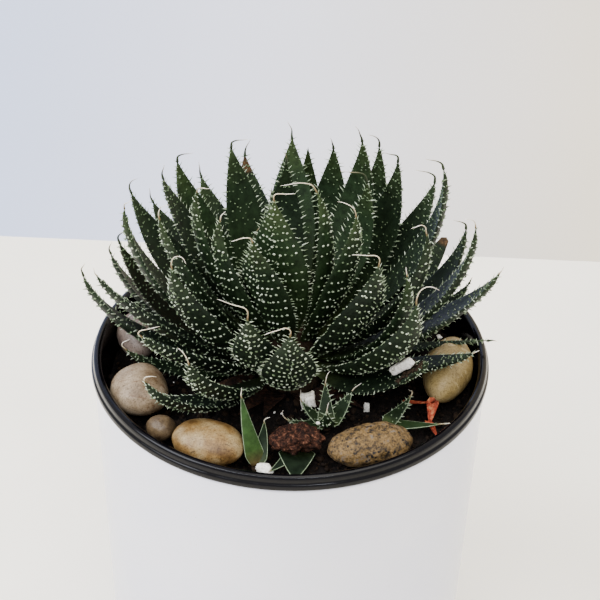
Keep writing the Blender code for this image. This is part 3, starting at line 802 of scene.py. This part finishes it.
def build_bar(perlite):
    """The perlite bar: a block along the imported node's own main directions, squared, nicked and pitted."""
    points = packed_points("perlite_bar")
    centre = (points.min(0) + points.max(0)) / 2
    _, _, axes = np.linalg.svd(points - centre, full_matrices=False)
    half = np.abs((points - centre) @ axes.T).max(0)
    rows = ball_rows(22, 36)[..., [2, 0, 1]]
    rows = np.sign(rows) * np.abs(rows) ** 0.45
    nick = 0.16 * np.exp(-((rows[..., 0] - 0.25) / 0.10) ** 2)
    rows = rows * (1 - nick - 0.05 * wavy(rows, 0.9, 62, 3))[..., None] * half
    body = Body()
    closed_tube(body, rows @ axes + centre, centre + axes[0] * half[0], centre - axes[0] * half[0])
    body.piece("perlite_bit", [perlite], ["perlite_bar"])


# Materials


def linear(code):
    """A colour given as sRGB hex digits, as linear red, green, blue and alpha."""
    parts = [int(code[k:k + 2], 16) / 255 for k in (0, 2, 4)]
    return (*[p / 12.92 if p <= 0.04045 else ((p + 0.055) / 1.055) ** 2.4 for p in parts], 1.0)


def node(tree, kind, settings=None, **inputs):
    """Adds a node. settings sets its own properties, inputs its sockets by name, to a value or to a socket."""
    made = tree.nodes.new(kind)
    for key, value in (settings or {}).items():
        setattr(made, key, value)
    for key, value in inputs.items():
        name = key.replace("_", " ")
        socket = made.inputs[int(key[1:])] if key[0] == "i" and key[1:].isdigit() else made.inputs[name]
        if isinstance(value, bpy.types.NodeSocket):
            tree.links.new(value, socket)
        else:
            socket.default_value = value
    return made


def ramp(tree, factor, stops):
    """A colour ramp through (place, hex) stops."""
    made = node(tree, "ShaderNodeValToRGB", Fac=factor)
    band = made.color_ramp
    while len(band.elements) < len(stops):
        band.elements.new(0.5)
    for element, (place, code) in zip(band.elements, stops):
        element.position = place
        element.color = linear(code)
    return made.outputs["Color"]


def new_look(name):
    """An empty material with its Principled shader and its object coordinates in metres."""
    look = bpy.data.materials.new(name)
    look.use_nodes = True
    tree = look.node_tree
    shader = tree.nodes["Principled BSDF"]
    place = node(tree, "ShaderNodeTexCoord").outputs["Object"]
    return look, tree, shader, place


def noise(tree, place, size_mm, detail=3.0, roughness=0.5):
    """Noise whose lumps are about this many millimetres apart."""
    made = node(tree, "ShaderNodeTexNoise", Vector=place, Scale=1 / (size_mm * MM), Detail=detail,
                Roughness=roughness)
    return made.outputs["Fac"]


def mark(tree, name):
    """One of the two marks that each point carries."""
    return node(tree, "ShaderNodeAttribute", {"attribute_name": name}).outputs["Fac"]


def mixed(tree, factor, first, second, blend="MIX"):
    """Two colours mixed by a factor."""
    made = node(tree, "ShaderNodeMix", {"data_type": "RGBA", "blend_type": blend}, i0=factor, i6=first, i7=second)
    return made.outputs[2]


def scaled(tree, value, low, high, to_low, to_high):
    """A value moved from one range to another, held at the ends."""
    return node(tree, "ShaderNodeMapRange", Value=value, From_Min=low, From_Max=high, To_Min=to_low,
                To_Max=to_high).outputs["Result"]


def bump(tree, shader, height, depth_mm, strength=1.0):
    """Bump of this depth on the shader's normal."""
    made = node(tree, "ShaderNodeBump", Height=height, Distance=depth_mm * MM, Strength=strength)
    tree.links.new(made.outputs["Normal"], shader.inputs["Normal"])


def leaf_skin():
    """Succulent leaf skin: waxy dark green, paler and more yellow at the foot, finely mottled, soft sheen."""
    look, tree, shader, place = new_look("aloe leaf skin")
    along, tone = mark(tree, "along"), mark(tree, "tone")
    deep = ramp(tree, along, [(0.0, "2f361b"), (0.25, "131b11"), (0.75, "111911"), (0.95, "1c2718")])
    young = ramp(tree, along, [(0.0, "414e27"), (0.3, "1f2e16"), (0.75, "1d2d18"), (0.97, "323f20")])
    base = mixed(tree, scaled(tree, tone, 0.2, 1.0, 0.0, 1.0), deep, young)
    fresh = ramp(tree, along, [(0.0, "4a3a22"), (0.22, "31481f"), (0.7, "3a562b"), (1.0, "2c4221")])
    bright = mixed(tree, scaled(tree, tone, 1.1, 1.5, 0.0, 1.0), base, fresh)
    mottle = noise(tree, place, 2.4, 5.0, 0.6)
    alive = mixed(tree, 1.0, bright, ramp(tree, mottle, [(0.3, "a0a0a0"), (0.7, "ffffff")]), "MULTIPLY")
    dead = ramp(tree, noise(tree, place, 1.4, 5.0, 0.7), [(0.3, "1d140b"), (0.55, "41301d"), (0.75, "75583a")])
    shade = mixed(tree, scaled(tree, tone, -0.9, -0.05, 1.0, 0.0), alive, dead)
    tree.links.new(shade, shader.inputs["Base Color"])
    tree.links.new(scaled(tree, noise(tree, place, 1.2), 0.3, 0.7, 0.44, 0.60), shader.inputs["Roughness"])
    shader.inputs["Specular IOR Level"].default_value = 0.09
    bump(tree, shader, noise(tree, place, 0.7, 4.0), 0.08)
    return look


def wart_skin():
    """The hard white warts and teeth: horny tissue, slightly see-through, so the green shows in some of them."""
    look, tree, shader, place = new_look("aloe white warts")
    tone = mark(tree, "tone")
    colour = ramp(tree, tone, [(0.0, "3c4c33"), (0.30, "5f7050"), (0.65, "919f82"), (1.0, "c4cdb6")])
    spots = ramp(tree, noise(tree, place, 0.9), [(0.35, "c8c8c0"), (0.65, "ffffff")])
    tree.links.new(mixed(tree, 1.0, colour, spots, "MULTIPLY"), shader.inputs["Base Color"])
    tree.links.new(scaled(tree, noise(tree, place, 0.6), 0.3, 0.7, 0.4, 0.6), shader.inputs["Roughness"])
    shader.inputs["Specular IOR Level"].default_value = 0.25
    bump(tree, shader, noise(tree, place, 0.4), 0.03)
    return look


def dry_awn():
    """The dry bristles at the tips: straw, brown where they leave the leaf and whitish at their ends."""
    look, tree, shader, place = new_look("dry bristle straw")
    colour = ramp(tree, mark(tree, "along"), [(0.0, "454a2a"), (0.10, "6f5d40"), (0.24, "ada285"), (0.6, "dcd6c6"),
                                              (1.0, "f4f0e6")])
    fresh = ramp(tree, mark(tree, "along"), [(0.0, "1d2a18"), (0.45, "39402a"), (0.75, "8c8468"), (1.0, "d8d0bc")])
    streak = ramp(tree, noise(tree, place, 0.8), [(0.3, "c9bda8"), (0.7, "ffffff")])
    either = mixed(tree, mark(tree, "tone"), colour, fresh)
    tree.links.new(mixed(tree, 1.0, either, streak, "MULTIPLY"), shader.inputs["Base Color"])
    tree.links.new(scaled(tree, noise(tree, place, 0.5), 0.3, 0.7, 0.45, 0.65), shader.inputs["Roughness"])
    shader.inputs["Specular IOR Level"].default_value = 0.2
    bump(tree, shader, noise(tree, place, 0.3), 0.03)
    return look


def stem_bark():
    """The stem and feet between the leaves: dark, dry, brown leaf bases."""
    look, tree, shader, place = new_look("aloe stem")
    colour = ramp(tree, noise(tree, place, 2.0, 5.0, 0.65), [(0.3, "17120d"), (0.6, "2e2318"), (0.8, "4a3826")])
    tree.links.new(colour, shader.inputs["Base Color"])
    tree.links.new(scaled(tree, noise(tree, place, 1.5), 0.3, 0.7, 0.78, 0.92), shader.inputs["Roughness"])
    shader.inputs["Specular IOR Level"].default_value = 0.1
    bump(tree, shader, noise(tree, place, 1.0, 4.0), 0.4)
    return look


def white_glaze():
    """Glazed white earthenware: smooth and bright, the faint ripple of poured glaze in its reflections."""
    look, tree, shader, place = new_look("white glazed earthenware")
    tint = ramp(tree, noise(tree, place, 45.0, 2.0), [(0.35, "d6d6e2"), (0.65, "dcdbe3")])
    specks = ramp(tree, noise(tree, place, 1.1, 2.0, 0.4), [(0.76, "ffffff"), (0.80, "e3e0da")])
    tree.links.new(mixed(tree, 1.0, tint, specks, "MULTIPLY"), shader.inputs["Base Color"])
    tree.links.new(scaled(tree, noise(tree, place, 12.0), 0.3, 0.7, 0.10, 0.16), shader.inputs["Roughness"])
    shader.inputs["IOR"].default_value = 1.5
    bump(tree, shader, noise(tree, place, 18.0, 1.0), 0.15)
    return look


def black_plastic():
    """Injection moulded polypropylene, black: satin sheen, fine dust and a few pale scuffs."""
    look, tree, shader, place = new_look("black polypropylene")
    dust = ramp(tree, noise(tree, place, 1.3, 4.0, 0.7), [(0.64, "040305"), (0.72, "100e10"), (0.80, "4f4842")])
    haze = ramp(tree, noise(tree, place, 22.0, 3.0), [(0.35, "ffffff"), (0.7, "c8c8c8")])
    tree.links.new(mixed(tree, 1.0, dust, haze, "MULTIPLY"), shader.inputs["Base Color"])
    tree.links.new(scaled(tree, noise(tree, place, 3.0), 0.3, 0.7, 0.07, 0.15), shader.inputs["Roughness"])
    shader.inputs["Specular IOR Level"].default_value = 0.14
    bump(tree, shader, noise(tree, place, 0.8), 0.015)
    return look


def stone_look(name, stops, grain_mm, speck=None, vein=None, roughness=0.5, depth=0.06):
    """A river stone: water-worn, its colour in soft clouds, with specks or thin veins where the real one has."""
    look, tree, shader, place = new_look(name)
    cloud = noise(tree, place, grain_mm, 6.0, 0.62)
    colour = ramp(tree, cloud, stops)
    if speck:
        size, edge, code = speck
        spots = node(tree, "ShaderNodeTexVoronoi", Vector=place, Scale=1 / (size * MM)).outputs["Distance"]
        picked = scaled(tree, spots, edge, edge + 0.08, 1.0, 0.0)
        rare = scaled(tree, noise(tree, place, size * 3), 0.48, 0.58, 0.0, 1.0)
        strength = node(tree, "ShaderNodeMath", {"operation": "MULTIPLY"}, i0=picked, i1=rare).outputs[0]
        colour = mixed(tree, strength, colour, linear(code))
    if vein:
        size, code, turn = vein
        turned = node(tree, "ShaderNodeMapping", Vector=place, Rotation=turn, Scale=(1, 5, 1)).outputs["Vector"]
        lines = noise(tree, turned, size, 6.0, 0.7)
        colour = mixed(tree, scaled(tree, lines, 0.57, 0.65, 0.0, 0.8), colour, linear(code))
    grit = ramp(tree, noise(tree, place, 0.55, 5.0, 0.7), [(0.34, "8f8578"), (0.46, "e2ddd6"), (0.7, "ffffff")])
    tree.links.new(mixed(tree, 1.0, colour, grit, "MULTIPLY"), shader.inputs["Base Color"])
    tree.links.new(scaled(tree, noise(tree, place, 1.0), 0.3, 0.7, roughness - 0.08, roughness + 0.08),
                   shader.inputs["Roughness"])
    shader.inputs["Specular IOR Level"].default_value = 0.3
    bump(tree, shader, noise(tree, place, 0.7, 5.0), depth)
    return look


def potting_mix():
    """Moist potting mix: near-black peat with lighter crumbs."""
    look, tree, shader, place = new_look("moist potting mix")
    colour = ramp(tree, noise(tree, place, 1.8, 6.0, 0.7), [(0.35, "050403"), (0.55, "0e0a08"), (0.72, "1e1610")])
    tree.links.new(mixed(tree, mark(tree, "tone"), colour, linear("33261a")), shader.inputs["Base Color"])
    tree.links.new(scaled(tree, noise(tree, place, 1.5), 0.3, 0.7, 0.8, 0.95), shader.inputs["Roughness"])
    shader.inputs["Specular IOR Level"].default_value = 0.08
    bump(tree, shader, noise(tree, place, 0.8, 5.0), 0.5)
    return look


def bark_fibre():
    """A clump of dead bark fibre: reddish brown, torn and crumbly."""
    look, tree, shader, place = new_look("bark fibre")
    colour = ramp(tree, noise(tree, place, 1.3, 6.0, 0.75),
                  [(0.32, "070403"), (0.46, "1a0e09"), (0.56, "3c2318"), (0.66, "6a4633"), (0.78, "a08468")])
    tree.links.new(colour, shader.inputs["Base Color"])
    tree.links.new(scaled(tree, noise(tree, place, 1.1), 0.3, 0.7, 0.8, 0.95), shader.inputs["Roughness"])
    shader.inputs["Specular IOR Level"].default_value = 0.1
    bump(tree, shader, noise(tree, place, 0.6, 5.0), 0.6)
    return look


def dried_leaf(name, codes):
    """A dried leaf: papery and brittle, streaked along its veins, darker where it rotted."""
    look, tree, shader, place = new_look(name)
    cloud = noise(tree, place, 1.8, 6.0, 0.7)
    tree.links.new(ramp(tree, cloud, list(zip((0.34, 0.52, 0.70), codes))), shader.inputs["Base Color"])
    tree.links.new(scaled(tree, noise(tree, place, 1.0), 0.3, 0.7, 0.6, 0.85), shader.inputs["Roughness"])
    shader.inputs["Specular IOR Level"].default_value = 0.15
    bump(tree, shader, noise(tree, place, 0.6, 4.0), 0.3)
    return look


def perlite_grain():
    """Expanded perlite: a chalky white glass foam with small dark pores."""
    look, tree, shader, place = new_look("perlite")
    pores = ramp(tree, noise(tree, place, 0.9, 4.0, 0.65), [(0.30, "7d776a"), (0.42, "d2ccbd"), (0.6, "efece2")])
    tree.links.new(pores, shader.inputs["Base Color"])
    shader.inputs["Roughness"].default_value = 0.9
    bump(tree, shader, noise(tree, place, 0.5, 5.0), 0.25)
    return look


# The pots and the soil


def build_pots(glaze, plastic):
    """The cover pot and the grow pot, each a rounded profile turned about the axis."""
    outer = smooth_profile([
        (57.0, 0.0), (58.9, 0.3), (59.4, 2.2), (60.6, 31.0), (61.8, 62.0), (62.9, 93.0), (64.1, 122.5),
        (64.1, 124.6), (62.3, 124.7), (61.9, 123.0), (61.5, 118.0), (60.4, 110.0), (57.6, 50.0), (56.0, 9.0),
        (54.0, 6.0), (30.0, 6.0),
    ])
    body = Body()
    closed_tube(body, turned_rows(outer, 128), (0, 0, 0), (0, 0, 6.0))
    body.piece("cover_pot", [glaze], ["outer_pot"])
    inner = smooth_profile([
        (40.0, 7.0), (49.0, 7.0), (50.2, 8.4), (59.3, 110.0), (61.0, 118.0), (61.6, 124.0), (61.7, 125.0),
        (64.6, 125.0), (65.0, 125.5), (65.0, 126.5), (64.9, 127.1), (64.3, 127.7), (64.3, 128.8), (63.9, 129.7),
        (63.0, 130.05),
        (62.1, 129.8), (61.5, 128.9), (61.0, 126.0), (60.8, 124.0), (60.1, 118.0), (58.4, 110.0), (49.2, 9.6),
        (48.2, 8.2), (40.0, 8.2),
    ])
    body = Body()
    closed_tube(body, turned_rows(inner, 160), (0, 0, 7.0), (0, 0, 8.2))
    body.piece("grow_pot", [plastic], ["nursery_pot"])


def soil_height(x, y):
    """The soil's surface: 117 mm, a low crown round the stem, and crumbs from noise of 9 and 2.5 mm."""
    place = np.stack([x, y, np.zeros_like(x)], -1)
    radius = np.hypot(x, y)
    crown = 3.0 * np.clip((42 - radius) / 22, 0, 1)
    return SOIL_Z + crown + 0.5 * wavy(place, 14.0, 3, 2) + 0.45 * wavy(place, 3.4, 4, 3) - 0.4


def build_soil(look, bits_look):
    """The soil: a rough disc on a plain plug, with loose crumbs, bark bits and perlite on top."""
    rings, steps = 90, 240
    radius = np.linspace(0.4, 59.4, rings)
    angle = np.arange(steps) / steps * 2 * np.pi
    x = radius[:, None] * np.cos(angle)
    y = radius[:, None] * np.sin(angle)
    top = np.stack([x, y, soil_height(x, y)], -1)
    wall = turned_rows([(59.2, 114.0), (58.1, 110.0), (48.9, 10.0), (47.6, 8.6)], steps)
    rows = np.concatenate([top, wall])
    body = Body()
    closed_tube(body, rows, (0, 0, float(soil_height(np.zeros(1), np.zeros(1))[0])), (0, 0, 8.6), 0, 0.0, 0.0)
    scatter_crumbs(body)
    body.piece("soil_top", [look, bits_look], ["soil"])


def scatter_crumbs(body):
    """Loose crumbs on the soil: squashed beads of many sizes, some pale. They sit half sunk."""
    rng = np.random.default_rng(12)
    count = 2600
    radius = 59.0 * np.sqrt(rng.uniform(0.02, 1, count))
    angle = rng.uniform(0, 2 * np.pi, count)
    x, y = radius * np.cos(angle), radius * np.sin(angle)
    size = 0.35 + 1.0 * rng.random(count) ** 3
    places = np.stack([x, y, soil_height(x, y) + size * 0.1], -1)
    axes = unit(rng.normal(size=(count, 3)) + UP)
    first = unit(np.cross(axes, rng.normal(size=(count, 3))))
    second = np.cross(axes, first)
    frames = right_handed(np.stack([
        first * (size * rng.uniform(0.8, 1.8, count))[:, None],
        second * size[:, None],
        axes * (size * rng.uniform(0.5, 0.9, count))[:, None],
    ], 1))
    pale = rng.random(count) < 0.012
    for chosen, look in ((~pale, 0), (pale, 1)):
        copies(body, *BEAD, places[chosen], frames[chosen], look, 0.0, rng.uniform(0.0, 0.5, chosen.sum()))


# The camera, the lights and the stage


def pixel_on_floor(across, down):
    """Where the ray through this pixel of a 600 by 600 picture meets the floor, in millimetres."""
    centre, ahead, right, up = camera_axes()
    focal = 600 * CAMERA_LENS / 36
    ray = ahead + (across - 300) / focal * right - (down - 300) / focal * up
    return centre - ray * centre[2] / ray[2]


def camera_axes():
    """The camera's place and its unit vectors ahead, right and up."""
    lift, roll = math.radians(CAMERA_ELEVATION), math.radians(CAMERA_ROLL)
    back = np.array([0, -math.cos(lift), math.sin(lift)])
    right, up = np.array([1.0, 0, 0]), np.cross([1.0, 0, 0], -back)
    return (AIM + CAMERA_DISTANCE * back, -back,
            math.cos(roll) * right + math.sin(roll) * up, -math.sin(roll) * right + math.cos(roll) * up)


def place_camera():
    centre, ahead, right, up = camera_axes()
    data = bpy.data.cameras.new("view")
    data.lens = CAMERA_LENS
    data.sensor_width = 36
    data.clip_start, data.clip_end = 0.05, 20
    camera = bpy.data.objects.new("view", data)
    bpy.context.scene.collection.objects.link(camera)
    matrix = np.eye(4)
    matrix[:3, 0], matrix[:3, 1], matrix[:3, 2], matrix[:3, 3] = right, up, -ahead, centre * MM
    camera.matrix_world = Matrix(matrix)
    bpy.context.scene.camera = camera


def stage_sheet(name, corners, look):
    """A flat sheet of the stage between four corners."""
    mesh = bpy.data.meshes.new(name)
    mesh.from_pydata([tuple(np.asarray(corner) * MM) for corner in corners], [], [(0, 1, 2, 3)])
    mesh.materials.append(look)
    sheet = bpy.data.objects.new(name, mesh)
    bpy.context.scene.collection.objects.link(sheet)


def stage_look(name, stops, size_mm, roughness, glow):
    """Plain painted board with the faintest unevenness, its colour drifting from left to right as painted window light
    from the left, glowing a little.
    """
    look, tree, shader, place = new_look(name)
    tint = ramp(tree, noise(tree, place, size_mm, 2.0), [(0.3, "f8f8f8"), (0.7, "ffffff")])
    across = node(tree, "ShaderNodeSeparateXYZ", Vector=place).outputs["X"]
    # The drift across X is painted light: its stops stand for the window light falling from the left, not for a paint
    # colour.
    drift = ramp(tree, scaled(tree, across, -1.0, 1.0, 0.0, 1.0), stops)
    painted = mixed(tree, 1.0, drift, tint, "MULTIPLY")
    for socket in ("Base Color", "Emission Color"):
        tree.links.new(painted, shader.inputs[socket])
    shader.inputs["Emission Strength"].default_value = glow
    shader.inputs["Roughness"].default_value = roughness
    return look


def lamp(name, place, aim, wide, high, power, code):
    """A soft flat lamp at place that shines towards aim."""
    data = bpy.data.lights.new(name, "AREA")
    data.shape = "RECTANGLE"
    data.size, data.size_y = wide * MM, high * MM
    data.energy = power
    data.color = linear(code)[:3]
    made = bpy.data.objects.new(name, data)
    bpy.context.scene.collection.objects.link(made)
    place, aim = np.array(place, float), np.array(aim, float)
    back = unit(place - aim)
    right = unit(np.cross(UP, back))
    matrix = np.eye(4)
    matrix[:3, 0], matrix[:3, 1], matrix[:3, 2], matrix[:3, 3] = right, np.cross(back, right), back, place * MM
    made.matrix_world = Matrix(matrix)


def build_stage():
    left, right = pixel_on_floor(0, 236), pixel_on_floor(600, 262)
    run = unit(right - left)
    far_left, far_right = left - run * 2500, right + run * 2500
    front = np.array([0, -3000, 0])
    # The drift stops of both boards are painted light; on the wall they run from bluish where the window light falls on
    # the left to warm on the right.
    floor = stage_look("matt table", [(0.0, "f4efdf"), (1.0, "f6eedd")], 60.0, 0.6, 0.22)
    wall = stage_look("matt wall", [(0.30, "ccd7f6"), (0.50, "e4e4ee"), (0.70, "ebdfc8")], 400.0, 0.9, 0.95)
    stage_sheet("table", [far_left + front, far_right + front, far_right, far_left], floor)
    away, drop = np.array([0, WALL_BEHIND, 0]), np.array([0, 0, WALL_HALF_HIGH])
    stage_sheet("wall", [far_left + away - drop, far_right + away - drop, far_right + away + drop,
                         far_left + away + drop], wall)
    world = bpy.data.worlds.new("soft daylight")
    world.use_nodes = True
    sky = world.node_tree.nodes["Background"]
    sky.inputs["Color"].default_value = linear("f6f7fb")
    sky.inputs["Strength"].default_value = 1.5
    bpy.context.scene.world = world
    lamp("window left", (-900, -300, 1100), (0, 0, 100), 900, 900, 34.0, "f2f5ff")
    lamp("ceiling", (300, -200, 1500), (0, 0, 100), 1200, 1200, 26.0, "fffaf0")
    lamp("window front", (-150, -950, 1150), (0, -40, 120), 1300, 28, 13.0, "eef3ff")


def main():
    place_camera()
    build_stage()
    leaf_looks = [leaf_skin(), wart_skin(), dry_awn(), stem_bark()]
    build_rosette(leaf_looks)
    build_stones({
        "pebble_1": stone_look("pinkish grey stone", [(0.35, "5c5048"), (0.55, "75685e"), (0.7, "8d8074")], 7.0,
                               vein=(5.0, "443a33", (0, 0, 1.2))),
        "pebble_2": stone_look("cream stone", [(0.32, "5c4931"), (0.48, "85745c"), (0.68, "a5967f")], 10.0,
                               vein=(6.0, "5e3f22", (0, 0, 0.5))),
        "pebble_3": stone_look("brown stone", [(0.3, "35291a"), (0.5, "564631"), (0.7, "736145")], 6.0),
        "pebble_4": stone_look("ochre cream stone", [(0.34, "553d1c"), (0.46, "7a5f35"), (0.60, "94805a"),
                                                     (0.75, "a89873")], 8.0, vein=(2.4, "33210f", (0.2, 0.1, 0.9))),
        "pebble_5": stone_look("granular stone", [(0.33, "1f1913"), (0.43, "4a3a20"), (0.56, "725a33"),
                                                  (0.68, "5a5249"), (0.8, "8f8166")], 2.2,
                               speck=(1.2, 0.34, "16110c"), depth=0.30, roughness=0.75),
        "pebble_6": stone_look("long cream stone", [(0.32, "6f5d37"), (0.5, "8d7a4d"), (0.7, "a39167")], 12.0,
                               vein=(8.0, "b8aa82", (0, 0, 0.2))),
        "pebble_7": stone_look("grey stone", [(0.3, "5b5349"), (0.5, "736b60"), (0.7, "878075")], 8.0),
    })
    bark = bark_fibre()
    perlite = perlite_grain()
    clump = Body()
    refit(clump, "bark_clump", 60, 110, 0.5, 3.2, 51, facets=0.5)
    clump.piece("bark_bit", [bark], ["bark_clump"])
    build_bar(perlite)
    build_loose_bits(leaf_looks, dried_leaf("dead brown leaf", ["0a0604", "20130c", "463020"]),
                     dried_leaf("dried red leaf", ["3c150c", "84331f", "b07a50"]), perlite)
    build_pots(white_glaze(), black_plastic())
    build_soil(potting_mix(), perlite)


main()
